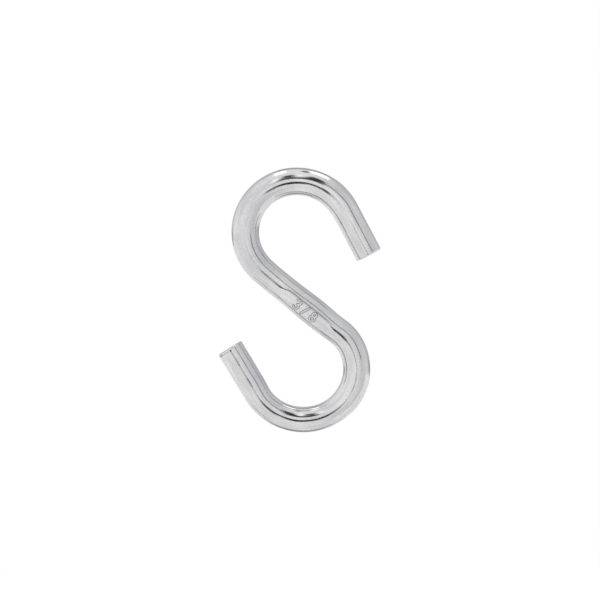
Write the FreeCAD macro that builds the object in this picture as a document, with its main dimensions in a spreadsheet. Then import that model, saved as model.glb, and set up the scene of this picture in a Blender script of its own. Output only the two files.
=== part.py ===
import FreeCAD, Part
import math
import os

import Sketcher

# Plain S-hook for a trailer's safety chain: one length of round steel rod, stamped flat at its
# middle and bent into a bowl at each end. Millimetres. X runs across the S, Y through the rod
# and Z up. The front faces -Y, and the origin is the middle of the hook's box.

doc = FreeCAD.newDocument("SafetyChainHook")

# Each end has its own values, because the two ends are bent one after the other.
cells = [
    ("rodDiameter", 9.525),
    ("shankLength", 33.9),
    ("shankSlope", 38.9),
    ("upperLegLength", 18.2),
    ("upperLegSideRadius", 19.45),
    ("upperLegSideTurn", 81.8),
    ("upperShankSideRadius", 18.05),
    ("upperShankSideTurn", 121.6),
    ("lowerShankSideRadius", 17.0),
    ("lowerShankSideTurn", 94.4),
    ("lowerLegSideRadius", 19.2),
    ("lowerLegSideTurn", 105.5),
    ("lowerLegLength", 18.9),
    ("endRound", 0.6),
    ("padLength", 19.0),
    ("padWidth", 12.0),
    ("padEndSlope", 60.0),
    ("frontPadDepth", 0.45),
    ("backPadDepth", 0.2),
]
sizes = doc.addObject("Spreadsheet::Sheet", "Sizes")
for row, (alias, value) in enumerate(cells, start=1):
    sizes.set("A%d" % row, alias)
    sizes.set("B%d" % row, str(value))
    sizes.setAlias("B%d" % row, alias)
doc.recompute()

# The centre line, from the tip of the upper leg to the tip of the lower leg: the name of each
# stretch, and the way it turns seen from the front, 0 for straight, 1 for left, -1 for right.
stretches = [
    ("upperLeg", 0),
    ("upperLegSide", 1),
    ("upperShankSide", 1),
    ("shank", 0),
    ("lowerShankSide", -1),
    ("lowerLegSide", -1),
    ("lowerLeg", 0),
]

# Sketcher's numbers for a curve's ends and centre, for the sketch's origin and for the first
# edge that a sketch takes from another one.
start, end, centre = 1, 2, 3
origin = (-1, 1)
shankEdge = -3

body = doc.addObject("PartDesign::Body", "Hook")
body.Label = "s_hook"


def size(alias):
    return float(getattr(sizes, alias))


def newSketch(name, role):
    planes = [plane for plane in body.Origin.OriginFeatures if plane.Role == role]
    sketch = body.newObject("Sketcher::SketchObject", name)
    sketch.AttachmentSupport = [(planes[0], "")]
    sketch.MapMode = "FlatFace"
    return sketch


def drive(sketch, kind, geometry, value, name, expression):
    index = sketch.addConstraint(Sketcher.Constraint(kind, *geometry, value))
    sketch.renameConstraint(index, name)
    sketch.setExpression("Constraints." + name, expression)


def addLine(sketch, at, heading, name):
    length = size(name + "Length")
    tip = at + FreeCAD.Vector(math.cos(heading), math.sin(heading), 0) * length
    index = sketch.addGeometry(Part.LineSegment(at, tip), False)
    drive(sketch, "Distance", (index,), length, name + "Length", "Sizes." + name + "Length")
    return index, start, end, tip, heading


def addArc(sketch, at, heading, name, side):
    radius = size(name + "Radius")
    turn = math.radians(size(name + "Turn"))
    left = FreeCAD.Vector(-math.sin(heading), math.cos(heading), 0)
    middle = at + left * side * radius
    first = heading - side * math.pi / 2
    last = first + side * turn
    circle = Part.Circle(middle, FreeCAD.Vector(0, 0, 1), radius)
    index = sketch.addGeometry(Part.ArcOfCircle(circle, min(first, last), max(first, last)), False)
    drive(sketch, "Radius", (index,), radius, name + "Radius", "Sizes." + name + "Radius")
    drive(sketch, "Angle", (index,), turn, name + "Turn", "Sizes." + name + "Turn * 1 deg")
    tip = middle + FreeCAD.Vector(math.cos(last), math.sin(last), 0) * radius
    ends = (start, end) if side > 0 else (end, start)
    return index, ends[0], ends[1], tip, heading + side * turn


# The sketch starts at the body's origin with the upper leg straight up, so that the round
# section can lie on the body's own XY plane. The body's placement then leans the whole hook.
line = newSketch("CentreLine", "XZ_Plane")
at = FreeCAD.Vector(0, 0, 0)
heading = math.pi / 2
edges = {}
before = None
for name, side in stretches:
    if side:
        index, near, far, at, heading = addArc(line, at, heading, name, side)
    else:
        index, near, far, at, heading = addLine(line, at, heading, name)
    if before:
        line.addConstraint(Sketcher.Constraint("Tangent", before[0], before[1], index, near))
    else:
        line.addConstraint(Sketcher.Constraint("Coincident", index, near, *origin))
        line.addConstraint(Sketcher.Constraint("Vertical", index))
    before = (index, far)
    edges[name] = "Edge%d" % (index + 1)

section = newSketch("RodSection", "XY_Plane")
circle = Part.Circle(FreeCAD.Vector(0, 0, 0), FreeCAD.Vector(0, 0, 1), size("rodDiameter") / 2)
index = section.addGeometry(circle, False)
section.addConstraint(Sketcher.Constraint("Coincident", index, centre, *origin))
drive(section, "Diameter", (index,), size("rodDiameter"), "rodDiameter", "Sizes.rodDiameter")

rod = body.newObject("PartDesign::AdditivePipe", "BentRod")
rod.Profile = section
rod.Spine = (line, list(edges.values()))
doc.recompute()


def addPad(base, name, side, depth):
    # A flat pressed across the middle of the shank, on the front (side -1) or the back (side 1).
    sketch = newSketch(name + "Outline", "XZ_Plane")
    sketch.setExpression(
        "AttachmentOffset.Base.z", "%d * (Sizes.rodDiameter / 2 - Sizes.%s)" % (-side, depth))
    doc.recompute()
    sketch.addExternal(line.Name, edges["shank"])
    shank = line.Geometry[int(edges["shank"][4:]) - 1]
    middle = (shank.StartPoint + shank.EndPoint) * 0.5
    along = (shank.EndPoint - shank.StartPoint).normalize()
    across = FreeCAD.Vector(-along.y, along.x, 0)
    halfLength = along * (size("padLength") / 2)
    halfWidth = across * (size("padWidth") / 2)
    corners = [
        middle - halfLength - halfWidth,
        middle + halfLength - halfWidth,
        middle + halfLength + halfWidth,
        middle - halfLength + halfWidth,
    ]
    for corner, following in zip(corners, corners[1:] + corners[:1]):
        sketch.addGeometry(Part.LineSegment(corner, following), False)
    centrePoint = sketch.addGeometry(Part.Point(middle), True)
    for edge in range(4):
        sketch.addConstraint(Sketcher.Constraint("Coincident", edge, end, (edge + 1) % 4, start))
    sketch.addConstraint([
        Sketcher.Constraint("Parallel", 0, shankEdge),
        Sketcher.Constraint("Parallel", 2, shankEdge),
        Sketcher.Constraint("Perpendicular", 1, 0),
        Sketcher.Constraint("Perpendicular", 3, 0),
        Sketcher.Constraint("Symmetric", shankEdge, start, shankEdge, end, centrePoint, start),
        Sketcher.Constraint("Symmetric", 0, start, 2, start, centrePoint, start),
    ])
    drive(sketch, "Distance", (0,), size("padLength"), "padLength", "Sizes.padLength")
    drive(sketch, "Distance", (1,), size("padWidth"), "padWidth", "Sizes.padWidth")
    pad = body.newObject("PartDesign::Pocket", name)
    pad.Profile = sketch
    pad.Reversed = side < 0
    pad.setExpression("Length", "Sizes.rodDiameter")
    pad.setExpression("TaperAngle", "Sizes.padEndSlope * 1 deg")
    doc.recompute()
    if pad.Shape.Volume > base.Shape.Volume - size("padLength") * size(depth):
        raise RuntimeError(name + " cut nothing")
    return pad


front = addPad(rod, "FrontPad", -1, "frontPadDepth")
back = addPad(front, "BackPad", 1, "backPadDepth")


def isTipEdge(edge):
    # The sheared ends are the only whole circles of the rod's own size beside the bends' seams.
    point = edge.Vertexes[0].Point
    nearEnds = min(point.distanceToPoint(tip) for tip in tips)
    return edge.isClosed() and nearEnds < size("rodDiameter") * 0.51


tips = [FreeCAD.Vector(0, 0, 0), FreeCAD.Vector(at.x, 0, at.y)]
tipEdges = [
    "Edge%d" % number
    for number, edge in enumerate(back.Shape.Edges, start=1)
    if isTipEdge(edge)
]
rounds = body.newObject("PartDesign::Fillet", "EndRounds")
rounds.Base = (back, tipEdges)
rounds.setExpression("Radius", "Sizes.endRound")
doc.recompute()

# The hook leans so that its shank has the stated slope, and its box is centred on the origin.
upperTurn = size("upperLegSideTurn") + size("upperShankSideTurn")
lean = 360 - size("shankSlope") - (90 + upperTurn)
body.Placement = FreeCAD.Placement(
    FreeCAD.Vector(0, 0, 0), FreeCAD.Rotation(FreeCAD.Vector(0, -1, 0), lean))
doc.recompute()
body.Placement.Base = body.Shape.optimalBoundingBox(False).Center * -1
doc.recompute()

for feature in doc.Objects:
    if "Invalid" in feature.State or "Error" in feature.State:
        raise RuntimeError(feature.Name + " failed: " + str(feature.State))
if body.Shape.isNull() or not body.Shape.isValid() or len(body.Shape.Solids) != 1:
    raise RuntimeError(body.Label + " is not one valid solid")
if len(tipEdges) != len(tips):
    raise RuntimeError("the two ends were not both found")

os.makedirs("parts", exist_ok=True)
body.Shape.exportStep("parts/" + body.Label + ".step")

box = body.Shape.optimalBoundingBox(False)
print("size %.3f x %.3f x %.3f" % (box.XLength, box.YLength, box.ZLength))
print("volume %.1f" % body.Shape.Volume)
for number, (name, side) in enumerate(stretches):
    curve = line.Geometry[number]
    ends = [curve.StartPoint, curve.EndPoint] + ([curve.Center] if side else [])
    places = [body.Placement.multVec(FreeCAD.Vector(p.x, 0, p.y)) for p in ends]
    print(name, ["(%.3f, %.3f)" % (p.x, p.z) for p in places])
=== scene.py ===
import math

import bpy
import numpy as np
from mathutils import Matrix, Quaternion, Vector


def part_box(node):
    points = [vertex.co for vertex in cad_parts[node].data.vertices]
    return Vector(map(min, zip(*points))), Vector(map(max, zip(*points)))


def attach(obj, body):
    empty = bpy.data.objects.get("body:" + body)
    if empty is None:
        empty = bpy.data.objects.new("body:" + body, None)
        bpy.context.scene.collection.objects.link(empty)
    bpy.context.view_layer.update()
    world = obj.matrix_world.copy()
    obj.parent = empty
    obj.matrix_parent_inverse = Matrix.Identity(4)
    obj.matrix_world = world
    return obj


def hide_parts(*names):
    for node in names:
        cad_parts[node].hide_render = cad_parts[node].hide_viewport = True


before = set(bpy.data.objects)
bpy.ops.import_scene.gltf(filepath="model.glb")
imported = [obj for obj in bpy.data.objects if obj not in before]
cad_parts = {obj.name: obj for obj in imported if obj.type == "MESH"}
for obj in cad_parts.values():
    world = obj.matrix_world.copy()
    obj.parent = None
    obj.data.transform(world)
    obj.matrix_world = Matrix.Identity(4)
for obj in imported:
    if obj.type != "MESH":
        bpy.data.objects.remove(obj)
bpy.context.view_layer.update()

# A plain S-hook for a trailer's safety chain: bright zinc-plated steel rod, bent cold at both ends
# and pressed flat across the middle. The front faces -Y. Lengths are metres unless a note says mm.

mm = 0.001


def fromHex(code):
    # sRGB hex to the linear colour that the shaders want
    parts = [int(code[i:i + 2], 16) / 255 for i in (0, 2, 4)]
    return tuple(p / 12.92 if p <= 0.04045 else ((p + 0.055) / 1.055) ** 2.4 for p in parts) + (1.0,)


def smoothStep(low, high, x):
    t = np.clip((x - low) / (high - low), 0.0, 1.0)
    return t * t * (3 - 2 * t)


def addNode(tree, kind, settings=None, inputs=None):
    # settings are the node's own options; an input is a value, or a link from another socket
    node = tree.nodes.new(kind)
    for key, value in (settings or {}).items():
        setattr(node, key, value)
    for key, value in (inputs or {}).items():
        if isinstance(value, bpy.types.NodeSocket):
            tree.links.new(value, node.inputs[key])
        else:
            node.inputs[key].default_value = value
    return node


hook = {
    "rodDiameter": 9.525 * mm,
    "shankSlope": 38.9,           # degrees below level, seen from the front
    # the centre line from the upper tip to the lower tip: length, or bend radius and turn
    "stretches": [
        ("upperLeg", 18.2 * mm, 0),
        ("upperLegSide", 19.45 * mm, 81.8),
        ("upperShankSide", 18.05 * mm, 121.6),
        ("shank", 33.9 * mm, 0),
        ("lowerShankSide", 17.0 * mm, -94.4),
        ("lowerLegSide", 19.2 * mm, -105.5),
        ("lowerLeg", 18.9 * mm, 0),
    ],
    "ringStep": 0.55 * mm,        # along the rod, away from the pad
    "columnsBehind": 112,         # round the rod, away from the pad's front
    # cold bending leaves each bend a little wide or thin, and a little off its true line
    "bendShape": {
        "upperLegSide": (0.035, 0.15 * mm),
        "upperShankSide": (0.025, 0.22 * mm),
        "lowerShankSide": (0.010, 0.30 * mm),
        "lowerLegSide": (-0.045, 0.20 * mm),
    },
    "bendRamp": 5.0 * mm,         # to each side of a bend's ends, where its shape comes and goes
    "thinning": 0.3,              # share of a bend's widening that the rod loses front to back
    "waviness": 0.012 * mm,       # slight unevenness all over the rod
    "waveLengths": (1.9 * mm, 5.3 * mm, 3.1 * mm),
}
pad = {
    "length": 19.0 * mm,
    "offset": 3.2 * mm,           # towards the lower hook from the shank's middle
    "turn": 19.0,                 # degrees round the rod, towards the lower left
    "frontDepth": 0.50 * mm,
    "backDepth": 0.20 * mm,
    "endRamp": 2.4 * mm,          # to each side of the pad's ends, where the press runs out
    "edgeBlend": 0.20 * mm,       # rounding where the flat meets the rod
    "spread": 0.34 * mm,          # how far the pressed steel moves out on each side
    "spreadOffset": 5.5 * mm,     # where that is most, and over what length it dies away
    "spreadLength": 7.0 * mm,
    "ringStep": 0.11 * mm,        # along the rod, under the figures
    "margin": 1.5 * mm,           # and how far past the pad a medium step goes
    "marginStep": 0.25 * mm,
    "fineAngle": 32,              # degrees to each side of the pad's middle with finer columns
    "fineColumns": 64,
    "figureHeight": 3.5 * mm,
    "figureWidth": 0.45,          # half a figure's width with its stroke, as a share of its height
    "figureRise": 0.24 * mm,
    "strokeWidth": 0.62 * mm,
    "figureSpacing": 3.6 * mm,
    "strokeSlope": (-0.12 * mm, 0.14 * mm),   # where a stroke's side starts to fall and ends
    "cornerOffset": 0.05 * mm,    # painted shade, with rougher zinc, at the foot of each stroke
    "cornerWidth": 0.15 * mm,
    "padEdgeWidth": 0.45 * mm,      # darker, rougher zinc along the pad's upper edge
    "padEdgeDarkness": 0.55,
}
shearedEnd = {
    "roundSmall": 0.22 * mm,      # the edge's radius on its sharp side
    "roundLarge": 0.85 * mm,      # and on the side that the shear rolls over
    "clearance": 1.2,             # the plain rod starts this many large radii from the face
    "roundSteps": 7,
    "faceRings": 13,
    "tilt": 1.6,                  # degrees off square, seen from the front
    "frontTilt": 2.2,             # and from the side, the front edge being the shorter
    "tiltKept": (0.5, 0.7),       # the share of each tilt that the face takes
    "rollSide": 20,               # degrees round the lower end to its rolled-over side
    "faceBlend": 0.3 * mm,        # depth at which the face's look gives way to the rod's
    "tear": 0.07 * mm,            # depth of the torn half of the sheared face
    "tearTurn": 0.5,              # radians past the rolled-over side
    "tearBlend": (-0.6 * mm, 0.9 * mm),       # across the face, where torn gives way to cut
    "ripple": 0.22,               # share of the tear's depth
    "rippleSizes": (0.31 * mm, 1.1 * mm, 0.47 * mm, 0.9 * mm),
}


class CentreLine:
    # where the rod's centre is, and which way it heads, at a distance from the upper tip
    def __init__(self, stretches, slope):
        upperTurn = sum(turn for name, size, turn in stretches[:3])
        heading = math.radians(-slope - upperTurn)
        at = np.zeros(2)
        self.parts = []
        self.marks = {}
        self.length = 0.0
        for name, size, turn in stretches:
            turn = math.radians(turn)
            run = abs(turn) * size if turn else size
            self.parts.append((self.length, run, at, heading, turn))
            self.marks[name] = (self.length, self.length + run)
            at = self.place(self.length + run)[0]
            heading += turn
            self.length += run

    def place(self, distance):
        rounding = 1e-9
        start, run, at, heading, turn = [p for p in self.parts if p[0] <= distance + rounding][-1]
        t = (distance - start) / run
        now = heading + turn * t
        if turn:
            radius = run / turn
            shift = np.array([math.sin(now) - math.sin(heading), math.cos(heading) - math.cos(now)])
            shift = shift * radius
        else:
            shift = np.array([math.cos(heading), math.sin(heading)]) * (distance - start)
        return at + shift, now


def strokeDistance(x, y):
    # distance from (x, y) to the middle of the nearest stroke of a plain 3/8, the rod's size in inches
    h = pad["figureHeight"] / 2
    r = h / 2

    def toArc(cx, cy, radius, low, high):
        angle = np.degrees(np.arctan2(y - cy, x - cx))
        inside = (angle >= low) & (angle <= high)
        ends = []
        for end in (math.radians(low), math.radians(high)):
            ends.append(np.hypot(x - cx - radius * math.cos(end), y - cy - radius * math.sin(end)))
        return np.where(inside, np.abs(np.hypot(x - cx, y - cy) - radius), np.minimum(*ends))

    def toSegment(x0, y0, x1, y1):
        dx, dy = x1 - x0, y1 - y0
        t = np.clip(((x - x0) * dx + (y - y0) * dy) / (dx * dx + dy * dy), 0, 1)
        return np.hypot(x - x0 - t * dx, y - y0 - t * dy)

    # the 3 is two arcs, and the 8 a small ring over a larger one
    gap = pad["figureSpacing"]
    strokes = [
        toArc(-gap, r, r, -90, 150),
        toArc(-gap, -r, r, -150, 90),
        toSegment(-0.42 * h, -h, 0.42 * h, h),
        toArc(gap, 0.92 * r, 0.86 * r, -180, 180),
        toArc(gap, -0.9 * r, 1.02 * r, -180, 180),
    ]
    return np.minimum.reduce(strokes)


def columnAngles():
    # round the section: fine across the pressed front, coarser elsewhere; 90 degrees is the front
    middle = 90 + pad["turn"]
    half = pad["fineAngle"]
    fine = np.linspace(middle - half, middle + half, pad["fineColumns"])
    coarse = np.linspace(middle + half, middle + 360 - half, hook["columnsBehind"] + 1)[1:-1]
    return np.radians(np.concatenate([fine, coarse]))


def ringDistances(line):
    # along the rod: fine under the figures, medium over the pad and coarser elsewhere
    low, high = line.marks["shank"]
    middle = (low + high) / 2 + pad["offset"]
    first = shearedEnd["roundLarge"] * shearedEnd["clearance"]
    figures = pad["figureSpacing"] + pad["figureHeight"] * pad["figureWidth"]
    half = pad["length"] / 2 + pad["margin"]
    last = line.length - first
    stops = [first, middle - half, middle - figures, middle + figures, middle + half, last]
    coarse, medium, fine = hook["ringStep"], pad["marginStep"], pad["ringStep"]
    rings = []
    for begin, end, step in zip(stops, stops[1:], (coarse, medium, fine, medium, coarse)):
        count = max(2, round((end - begin) / step))
        rings.extend(np.linspace(begin, end, count, endpoint=False))
    return rings + [last]


def sectionAt(line, s, angles):
    # offsets of one ring: across the S, out of it towards the front, and how dulled the zinc is
    r = hook["rodDiameter"] / 2
    low, high = line.marks["shank"]
    along = s - (low + high) / 2 - pad["offset"]
    half = pad["length"] / 2
    pressed = 1 - smoothStep(half - pad["endRamp"], half + pad["endRamp"], np.abs(along))
    fromSpread = (s - (low + high) / 2 - pad["spreadOffset"]) / pad["spreadLength"]
    spread = pad["spread"] * math.exp(-fromSpread ** 2)
    widening = drift = 0.0
    ramp = hook["bendRamp"]
    for name, (wide, off) in hook["bendShape"].items():
        begin, end = line.marks[name]
        inBend = smoothStep(begin - ramp, begin + ramp, s) * (1 - smoothStep(end - ramp, end + ramp, s))
        widening += wide * inBend
        drift += off * inBend
    short, long, middling = hook["waveLengths"]
    wave = np.sin(s / short + 2 * np.sin(angles)) * np.sin(s / long + 3 * angles)
    wave = (wave + 0.8 * np.sin(s / middling - 2 * angles)) * hook["waviness"]
    across = (r * (1 + widening) + wave) * np.cos(angles)
    front = (r * (1 - hook["thinning"] * widening) + wave) * np.sin(angles)
    darkening = np.zeros(len(angles))
    tooLittle = 0.001
    if pressed < tooLittle and spread < tooLittle * mm:
        return across + drift, front, darkening
    # the press works square to the pad, which is turned a little round the rod
    turn = math.radians(pad["turn"])
    side = across * math.cos(turn) + front * math.sin(turn)
    out = front * math.cos(turn) - across * math.sin(turn)
    side = side * (1 + spread / r)
    blend = pad["edgeBlend"]
    for way, depth in ((1, pad["frontDepth"]), (-1, pad["backDepth"])):
        limit = r - depth * pressed
        over = way * out - limit
        eased = np.where(over < -blend, over, -(over - blend) ** 2 / (4 * blend))
        eased = np.where(over > blend, 0.0, eased)
        out = np.where(way * out > 0, way * (limit + eased), out) if depth * pressed > 0 else out
    if abs(along) < pad["figureSpacing"] + pad["figureHeight"] * 0.5:
        edge = strokeDistance(along, side) - pad["strokeWidth"] / 2
        raised = (1 - smoothStep(*pad["strokeSlope"], edge)) * (out > 0)
        out = out + pad["figureRise"] * raised * pressed
        # painted shade: the foot of each stroke is darkened as if the raised figure shaded it
        fromCorner = (edge - pad["cornerOffset"]) / pad["cornerWidth"]
        darkening = np.exp(-fromCorner ** 2) * (out > 0) * pressed
    # the pad's upper edge is drawn darker and rougher
    flat = math.sqrt(r ** 2 - (r - pad["frontDepth"]) ** 2)
    fromPadEdge = (side - flat) / pad["padEdgeWidth"]
    darkening = np.maximum(darkening, pad["padEdgeDarkness"] * np.exp(-fromPadEdge ** 2) * (out > 0) * pressed)
    across = side * math.cos(turn) - out * math.sin(turn) + drift
    return across, side * math.sin(turn) + out * math.cos(turn), darkening


def endRings(angles, atStart):
    # the sheared end: a rolled-over side, a sharp side, and a face that is half cut and half torn
    r = hook["rodDiameter"] / 2
    rollSide = math.radians(shearedEnd["rollSide"] + (180 if atStart else 0))
    tearSide = rollSide + shearedEnd["tearTurn"]
    lean, frontLean = [math.tan(math.radians(shearedEnd[name])) for name in ("tilt", "frontTilt")]
    leanKept, frontLeanKept = shearedEnd["tiltKept"]
    sizeA, sizeB, sizeC, sizeD = shearedEnd["rippleSizes"]
    mean = (shearedEnd["roundLarge"] + shearedEnd["roundSmall"]) / 2
    swing = (shearedEnd["roundLarge"] - shearedEnd["roundSmall"]) / 2
    edge = mean + swing * np.cos(angles - rollSide)
    rings = []
    for k in range(shearedEnd["roundSteps"] + 1):
        t = math.radians(90) * k / shearedEnd["roundSteps"]
        rings.append((edge * (1 - math.sin(t)), r - edge * (1 - math.cos(t))))
    for k in range(1, shearedEnd["faceRings"]):
        share = 1 - k / shearedEnd["faceRings"]
        rings.append((np.zeros(len(angles)), (r - edge) * share))
    made = []
    for back, radius in rings:
        across, front = radius * np.cos(angles), radius * np.sin(angles)
        faceOn = np.clip(1 - back / shearedEnd["faceBlend"], 0, 1)
        toTear = across * math.cos(tearSide) + front * math.sin(tearSide)
        torn = smoothStep(*shearedEnd["tearBlend"], toTear)
        ripple = np.sin(across / sizeA + 1.3 * np.sin(front / sizeB))
        ripple = ripple + 0.6 * np.sin(front / sizeC + 2.0 * np.sin(across / sizeD))
        inwards = back + lean * (across + r) * leanKept
        inwards = inwards + frontLean * (front + r) * frontLeanKept
        depth = 1 + shearedEnd["ripple"] * ripple
        inwards = inwards + shearedEnd["tear"] * (1 - torn) * faceOn * depth
        made.append((inwards, across, front, faceOn))
    return made


def makeHook():
    line = CentreLine(hook["stretches"], hook["shankSlope"])
    angles = columnAngles()
    rows, straight, faceMask, darkenings = [], [], [], []

    def addRing(distances, across, front, onFace, darkening):
        at = float(np.clip(np.mean(distances), 0, line.length))
        base, heading = line.place(at)
        ahead = distances - at
        x = base[0] + math.cos(heading) * ahead - math.sin(heading) * across
        z = base[1] + math.sin(heading) * ahead + math.cos(heading) * across
        rows.append(np.stack([x, -front, z], axis=1))
        straight.append(np.stack([distances, across, front], axis=1) / mm)
        faceMask.append(onFace)
        darkenings.append(darkening)

    clean = np.zeros(len(angles))
    for inwards, across, front, onFace in reversed(endRings(angles, True)):
        addRing(inwards, across, front, onFace, clean)
    for s in ringDistances(line):
        across, front, darkening = sectionAt(line, s, angles)
        addRing(np.full(len(angles), s), across, front, clean, darkening)
    for inwards, across, front, onFace in endRings(angles, False):
        addRing(line.length - inwards, across, front, onFace, clean)

    columns = len(angles)
    verts = np.concatenate(rows)
    straight = np.concatenate(straight)
    faceMask = np.concatenate(faceMask)
    darkenings = np.concatenate(darkenings)
    ringCount = len(rows)
    for ring in (0, ringCount - 1):
        members = slice(ring * columns, (ring + 1) * columns)
        verts = np.vstack([verts, verts[members].mean(axis=0)])
        straight = np.vstack([straight, straight[members].mean(axis=0)])
        faceMask = np.append(faceMask, 1.0)
        darkenings = np.append(darkenings, 0.0)
    firstCentre = ringCount * columns
    faces = []
    for ring in range(ringCount - 1):
        a = ring * columns
        for c in range(columns):
            d = (c + 1) % columns
            faces.append((a + c, a + d, a + columns + d, a + columns + c))
    last = (ringCount - 1) * columns
    for c in range(columns):
        d = (c + 1) % columns
        faces.append((firstCentre, d, c))
        faces.append((firstCentre + 1, last + c, last + d))

    # the S is centred in its box, where the frame has its node
    low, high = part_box("s_hook")
    middle = (np.array(low) + np.array(high)) / 2
    verts = verts - (verts.min(axis=0) + verts.max(axis=0)) / 2 + middle

    mesh = bpy.data.meshes.new("bentRod")
    mesh.from_pydata(verts.tolist(), [], faces)
    mesh.update()
    mesh.polygons.foreach_set("use_smooth", [True] * len(mesh.polygons))
    place = mesh.attributes.new("straightRod", "FLOAT_VECTOR", "POINT")
    place.data.foreach_set("vector", straight.astype(np.float32).ravel())
    for name, values in (("shearedFace", faceMask), ("paintedDarkening", darkenings)):
        spread = mesh.attributes.new(name, "FLOAT", "POINT")
        spread.data.foreach_set("value", values.astype(np.float32))
    obj = bpy.data.objects.new("bentRod", mesh)
    bpy.context.scene.collection.objects.link(obj)
    return obj


zinc = {
    "cool": "D5D5D7",             # clear passivated zinc, the bluish side
    "warm": "DEDDDD",             # and where it is a little paler and warmer
    "tintSize": 11.0,             # mm, the patches of cool and warm
    "tintRange": (0.38, 0.62),
    "faceColour": "C6C7CA",
    "darkeningColour": "7E8084",     # painted shade in the corners of the figures, and the darker line along the pad's upper edge
    "roughness": 0.13,
    "roughnessSpread": 0.07,
    "faceRoughness": 0.34,
    "streakSize": 1.7,            # mm across the rod, greyer streaks that run along it
    "streakStretch": 0.16,        # places along the rod are multiplied by this, which draws it out
    "streakShade": (0.93, 1.08),
    "streakRange": (0.35, 0.65),
    "drawLineSpacing": 0.35,      # mm round the rod, coarser than real die lines so that they show
    "drawLineStretch": 0.022,
    "drawLineDepth": 0.0016,      # mm
    "drawLineRange": (0.3, 0.7),
    "grainSize": 0.9,             # mm, plated grain drawn coarse enough to see
    "grainDepth": 0.002,
    "grainShade": (0.90, 1.0),
    "grainRange": (0.3, 0.7),     # the part of each pattern that is spread over its shades
    "swellSize": 7.0,             # mm, the rod's slow unevenness after bending
    "swellDepth": 0.05,
}


def zincPlatedSteel():
    # Bright zinc plating on drawn steel rod: a clear mirror-like grey, drawn lines along the rod,
    # a faint grain, and a tint that wanders between cool and warm. The sheared faces are duller.
    material = bpy.data.materials.new("zincPlatedDrawnSteel")
    material.use_nodes = True
    tree = material.node_tree
    tree.nodes.clear()
    place = addNode(tree, "ShaderNodeAttribute", {"attribute_name": "straightRod"}).outputs["Vector"]
    onFace = addNode(tree, "ShaderNodeAttribute", {"attribute_name": "shearedFace"}).outputs["Fac"]
    # painted shade in the figures' corners, and the darker pad edge, as read from the rod
    darkeningMask = addNode(tree, "ShaderNodeAttribute", {"attribute_name": "paintedDarkening"}).outputs["Fac"]

    def noise(vector, size, detail, roughness):
        inputs = {"Vector": vector, "Scale": 1 / size, "Detail": detail, "Roughness": roughness}
        return addNode(tree, "ShaderNodeTexNoise", inputs=inputs).outputs["Fac"]

    def spanned(value, low, high, toLow=0.0, toHigh=1.0):
        inputs = {"Value": value, "From Min": low, "From Max": high, "To Min": toLow, "To Max": toHigh}
        return addNode(tree, "ShaderNodeMapRange", inputs=inputs).outputs["Result"]

    def alongRod(stretch):
        inputs = {0: place, 1: (stretch, 1.0, 1.0)}
        return addNode(tree, "ShaderNodeVectorMath", {"operation": "MULTIPLY"}, inputs).outputs["Vector"]

    tint = spanned(noise(place, zinc["tintSize"], 2.0, 0.5), *zinc["tintRange"])
    colour = addNode(tree, "ShaderNodeMix", {"data_type": "RGBA"}, {
        "Factor": tint, 6: fromHex(zinc["cool"]), 7: fromHex(zinc["warm"])})
    grain = noise(place, zinc["grainSize"], 3.0, 0.55)
    lines = noise(alongRod(zinc["drawLineStretch"]), zinc["drawLineSpacing"], 3.0, 0.6)
    swell = noise(place, zinc["swellSize"], 1.0, 0.4)
    streaks = noise(alongRod(zinc["streakStretch"]), zinc["streakSize"], 2.0, 0.5)

    shade = addNode(tree, "ShaderNodeMath", {"operation": "MULTIPLY"}, {
        0: spanned(grain, *zinc["grainRange"], *zinc["grainShade"]),
        1: spanned(streaks, *zinc["streakRange"], *zinc["streakShade"])})
    shaded = addNode(tree, "ShaderNodeMix", {"data_type": "RGBA", "blend_type": "MULTIPLY"}, {
        "Factor": 1.0, 6: colour.outputs[2], 7: shade.outputs[0]})
    # painted shade: the figures' corners and the pad's upper edge are mixed towards a dark grey
    darkenedColour = addNode(tree, "ShaderNodeMix", {"data_type": "RGBA"}, {
        "Factor": darkeningMask, 6: shaded.outputs[2], 7: fromHex(zinc["darkeningColour"])})
    faced = addNode(tree, "ShaderNodeMix", {"data_type": "RGBA"}, {
        "Factor": onFace, 6: darkenedColour.outputs[2], 7: fromHex(zinc["faceColour"])})

    half = zinc["roughnessSpread"] / 2
    low, high = zinc["roughness"] - half, zinc["roughness"] + half
    rough = spanned(lines, *zinc["drawLineRange"], low, high)
    rougher = addNode(tree, "ShaderNodeMath", {"operation": "MAXIMUM"}, {0: onFace, 1: darkeningMask})
    roughFaced = addNode(tree, "ShaderNodeMix", {"data_type": "FLOAT"}, {
        "Factor": rougher.outputs[0], 2: rough, 3: zinc["faceRoughness"]})

    normal = None
    depths = ((swell, zinc["swellDepth"]), (grain, zinc["grainDepth"]), (lines, zinc["drawLineDepth"]))
    for height, depth in depths:
        inputs = {"Height": height, "Distance": depth * mm, "Strength": 1.0}
        if normal:
            inputs["Normal"] = normal
        normal = addNode(tree, "ShaderNodeBump", inputs=inputs).outputs["Normal"]

    shader = addNode(tree, "ShaderNodeBsdfPrincipled", inputs={
        "Base Color": faced.outputs[2], "Metallic": 1.0,
        "Roughness": roughFaced.outputs[0], "Normal": normal})
    addNode(tree, "ShaderNodeOutputMaterial", inputs={"Surface": shader.outputs["BSDF"]})
    return material


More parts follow.
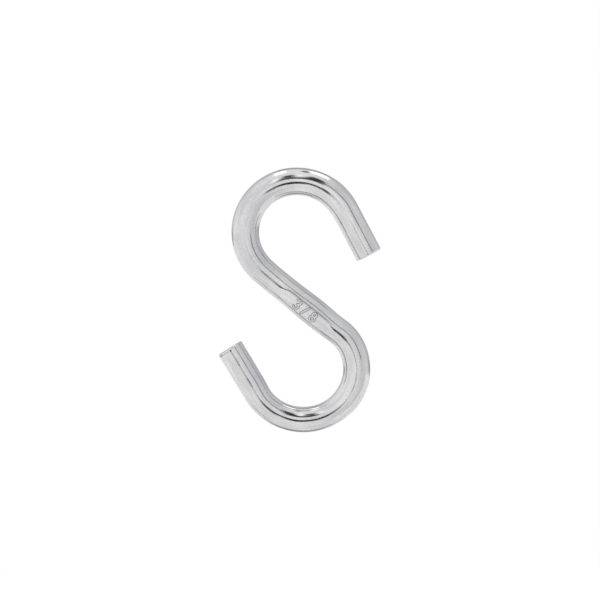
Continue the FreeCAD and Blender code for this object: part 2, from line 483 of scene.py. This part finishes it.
studio = {
    "lens": 200,                  # mm
    "sensorWidth": 36,            # mm
    "frameWidth": 212.6 * mm,     # width of the view at the hook
    "sideShift": 0.1 * mm,
    "floorDrop": 340 * mm,        # floor below the hook's middle
    "floorReach": 3.0,
    "floorFront": -0.25,          # it stops short of the camera's stand
    "floorColour": "E6E6E6",
    "floorLift": 0.25,            # light added to what the eye and the steel see of the floor
    "behindLevel": 0.62,          # the tent's back wall, 1 being its white front
    "behindFrom": (0.15, 0.98),   # how far back the grey starts and is full, 1 being straight behind
    "rightColour": "E5E6E9",      # and its right wall, a bluer grey
    "rightFrom": (0.0, 0.75),
}
# Cards and lamps round the hook. Places are degrees to the right and up from the camera, carried
# on round the hook; sizes are degrees wide and tall; then lean, distance in mm, light (1 is the
# tent's white) and the share of the panel that fades at its edges.
panels = [
    ("cameraBody", (0, -11.5), (9, 18), 0, 2400, 0.01, 0.03),
    ("cameraArmLeft", (-7.1, -10.2), (5.5, 18), 0, 2390, 0.01, 0.03),
    ("cameraArmRight", (5.0, -11.2), (6, 16), 0, 2390, 0.01, 0.05),
    ("darkCardLeft", (-6, 38), (9, 37), 4, 1100, 0.03, 0.16),
    ("darkCardRight", (11, 36), (13, 37), 9, 1100, 0.02, 0.16),
    ("darkCardJoint", (2, 27), (17, 14), 0, 1090, 0.03, 0.14),
    ("windowLamp", (1.5, 46), (5, 22), 0, 1080, 1.3, 0.20),
    ("windowLampLeft", (-15, 38), (5, 28), 4, 1080, 1.7, 0.30),
    ("overheadLampLeft", (-25, 92), (13, 32), 0, 1000, 2.6, 0.25),
    ("overheadLampRight", (33, 92), (20, 30), 0, 1000, 2.6, 0.25),
    ("overheadCard", (12, 88), (9, 24), 0, 1000, 0.12, 0.25),
    ("backCardTop", (6, 126), (70, 30), 0, 900, 0.42, 0.40),
    ("backCardLow", (-5, -125), (64, 42), 0, 300, 0.38, 0.40),
    ("leftGap", (-135, -3), (14, 18), 0, 900, 0.30, 0.35),
    ("rightGap", (138, -4), (14, 18), 0, 900, 0.30, 0.35),
]
# Thin seams and hoops of the tent, seen as fine dark lines along the rod: degrees away from the
# camera at each end, the turn round it from and to, width at each end, distance and light.
seams = [
    ("tentHoop", (36, 45), (24, 84), (5.0, 6.5), 900, 0.12),
    ("tentSeam", (99, 99), (28, 60.5), (4.0, 4.0), 900, 0.60),
    ("tableEdge", (102, 102), (-152, -132), (5.0, 5.0), 300, 0.35),
]


def towards(right, up):
    # from the hook, this many degrees to the right and up from the camera
    away, turn = math.radians(math.hypot(right, up)), math.atan2(right, up)
    return Vector((math.sin(away) * math.sin(turn), -math.cos(away), math.sin(away) * math.cos(turn)))


def panelMaterial(name, light, fade):
    # an evenly lit card whose edges fade away, so that its reflection has soft edges
    material = bpy.data.materials.new(name)
    material.use_nodes = True
    tree = material.node_tree
    tree.nodes.clear()
    glow = addNode(tree, "ShaderNodeEmission", inputs={"Color": (1, 1, 1, 1), "Strength": light})
    surface = glow
    if fade:
        place = addNode(tree, "ShaderNodeTexCoord").outputs["Generated"]
        parts = addNode(tree, "ShaderNodeSeparateXYZ", inputs={0: place})
        shares = []
        for axis in ("X", "Y"):
            inwards = addNode(tree, "ShaderNodeMath", {"operation": "PINGPONG"}, {
                0: parts.outputs[axis], 1: 0.5})
            shares.append(addNode(tree, "ShaderNodeMapRange", {"interpolation_type": "SMOOTHSTEP"}, {
                "Value": inwards.outputs[0], "From Max": fade}).outputs["Result"])
        solid = addNode(tree, "ShaderNodeMath", {"operation": "MULTIPLY"}, {0: shares[0], 1: shares[1]})
        clear = addNode(tree, "ShaderNodeBsdfTransparent")
        surface = addNode(tree, "ShaderNodeMixShader", inputs={
            0: solid.outputs[0], 1: clear.outputs[0], 2: glow.outputs[0]})
    addNode(tree, "ShaderNodeOutputMaterial", inputs={"Surface": surface.outputs[0]})
    return material


def stageUnseen(name, verts, faces, material):
    # a part of the studio that shows in the steel but not to the camera
    mesh = bpy.data.meshes.new(name)
    mesh.from_pydata(verts, [], faces)
    mesh.materials.append(material)
    obj = bpy.data.objects.new(name, mesh)
    obj.visible_camera = False
    obj.visible_shadow = False
    bpy.context.scene.collection.objects.link(obj)
    return obj


def makePanel(name, place, size, lean, distance, light, fade):
    w, h = [distance * mm * math.tan(math.radians(degrees / 2)) for degrees in size]
    panel = stageUnseen(name, [(-w, -h, 0), (w, -h, 0), (w, h, 0), (-w, h, 0)], [(0, 1, 2, 3)],
                        panelMaterial(name, light, fade))
    outwards = towards(*place)
    nudge = 1.01
    further = towards(place[0] * nudge, place[1] * nudge) - outwards
    further.rotate(Quaternion(outwards, -math.radians(lean)))
    across = further.cross(-outwards).normalized()
    along = (-outwards).cross(across).normalized()
    turned = Matrix((across, along, -outwards)).transposed().to_4x4()
    panel.matrix_world = Matrix.Translation(outwards * distance * mm) @ turned


def makeSeam(name, away, turn, width, distance, light):
    steps = 48
    verts = []
    for k in range(steps + 1):
        t = k / steps
        middle = away[0] + (away[1] - away[0]) * t
        half = (width[0] + (width[1] - width[0]) * t) / 2
        bearing = math.radians(turn[0] + (turn[1] - turn[0]) * t)
        for angle in (middle - half, middle + half):
            spot = towards(angle * math.sin(bearing), angle * math.cos(bearing))
            verts.append(spot * distance * mm)
    faces = [(2 * k, 2 * k + 1, 2 * k + 3, 2 * k + 2) for k in range(steps)]
    stageUnseen(name, verts, faces, panelMaterial(name, light, 0))


def makeFloor():
    # pale matt paper, lifted towards white where the eye or the steel sees it
    mesh = bpy.data.meshes.new("floor")
    reach, front, z = studio["floorReach"], studio["floorFront"], -studio["floorDrop"]
    corners = [(-reach, front, z), (reach, front, z), (reach, reach, z), (-reach, reach, z)]
    mesh.from_pydata(corners, [], [(0, 1, 2, 3)])
    floor = bpy.data.objects.new("floor", mesh)
    material = bpy.data.materials.new("palePaperFloor")
    material.use_nodes = True
    tree = material.node_tree
    tree.nodes.clear()
    paper = addNode(tree, "ShaderNodeBsdfDiffuse", inputs={
        "Color": fromHex(studio["floorColour"]), "Roughness": 0.6})
    path = addNode(tree, "ShaderNodeLightPath")
    seen = addNode(tree, "ShaderNodeMath", {"operation": "MAXIMUM"}, {
        0: path.outputs["Is Camera Ray"], 1: path.outputs["Is Glossy Ray"]})
    lift = addNode(tree, "ShaderNodeMath", {"operation": "MULTIPLY"}, {
        0: seen.outputs[0], 1: studio["floorLift"]})
    glow = addNode(tree, "ShaderNodeEmission", inputs={"Strength": lift.outputs[0]})
    both = addNode(tree, "ShaderNodeAddShader", inputs={0: paper.outputs[0], 1: glow.outputs[0]})
    addNode(tree, "ShaderNodeOutputMaterial", inputs={"Surface": both.outputs[0]})
    floor.data.materials.append(material)
    bpy.context.scene.collection.objects.link(floor)


def makeWorld():
    # the white tent: plain white to the eye; in the steel its back and right walls are greyer
    world = bpy.data.worlds.new("whiteTent")
    world.use_nodes = True
    tree = world.node_tree
    tree.nodes.clear()
    place = addNode(tree, "ShaderNodeTexCoord").outputs["Generated"]
    parts = addNode(tree, "ShaderNodeSeparateXYZ", inputs={0: place})
    behind = addNode(tree, "ShaderNodeMapRange", {"interpolation_type": "SMOOTHSTEP"}, {
        "Value": parts.outputs["Y"], "From Min": studio["behindFrom"][0],
        "From Max": studio["behindFrom"][1], "To Min": 1.0, "To Max": studio["behindLevel"]})
    right = addNode(tree, "ShaderNodeMapRange", {"interpolation_type": "SMOOTHSTEP"}, {
        "Value": parts.outputs["X"], "From Min": studio["rightFrom"][0],
        "From Max": studio["rightFrom"][1]})
    walls = addNode(tree, "ShaderNodeMix", {"data_type": "RGBA"}, {
        "Factor": right.outputs["Result"], 6: (1, 1, 1, 1), 7: fromHex(studio["rightColour"])})
    inSteel = addNode(tree, "ShaderNodeLightPath").outputs["Is Glossy Ray"]
    colour = addNode(tree, "ShaderNodeMix", {"data_type": "RGBA"}, {
        "Factor": inSteel, 6: (1, 1, 1, 1), 7: walls.outputs[2]})
    level = addNode(tree, "ShaderNodeMix", {"data_type": "FLOAT"}, {
        "Factor": inSteel, 2: 1.0, 3: behind.outputs["Result"]})
    back = addNode(tree, "ShaderNodeBackground", inputs={
        "Color": colour.outputs[2], "Strength": level.outputs[0]})
    addNode(tree, "ShaderNodeOutputWorld", inputs={"Surface": back.outputs["Background"]})
    bpy.context.scene.world = world


def makeCamera():
    data = bpy.data.cameras.new("frontCamera")
    data.lens = studio["lens"]
    data.sensor_width = studio["sensorWidth"]
    distance = studio["frameWidth"] / 2 / (data.sensor_width / 2 / data.lens)
    camera = bpy.data.objects.new("frontCamera", data)
    camera.location = (studio["sideShift"], -distance, 0)
    camera.rotation_euler = (math.radians(90), 0, 0)
    data.clip_start, data.clip_end = 0.01, 20
    bpy.context.scene.collection.objects.link(camera)
    bpy.context.scene.camera = camera


makeCamera()
makeWorld()
makeFloor()
for panel in panels:
    makePanel(*panel)
for seam in seams:
    makeSeam(*seam)
print("studio ready")

rod = makeHook()
rod.data.materials.append(zincPlatedSteel())
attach(rod, "root")
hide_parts("s_hook")
print("hook made:", len(rod.data.vertices), "points")

bpy.context.scene.view_settings.view_transform = "Standard"
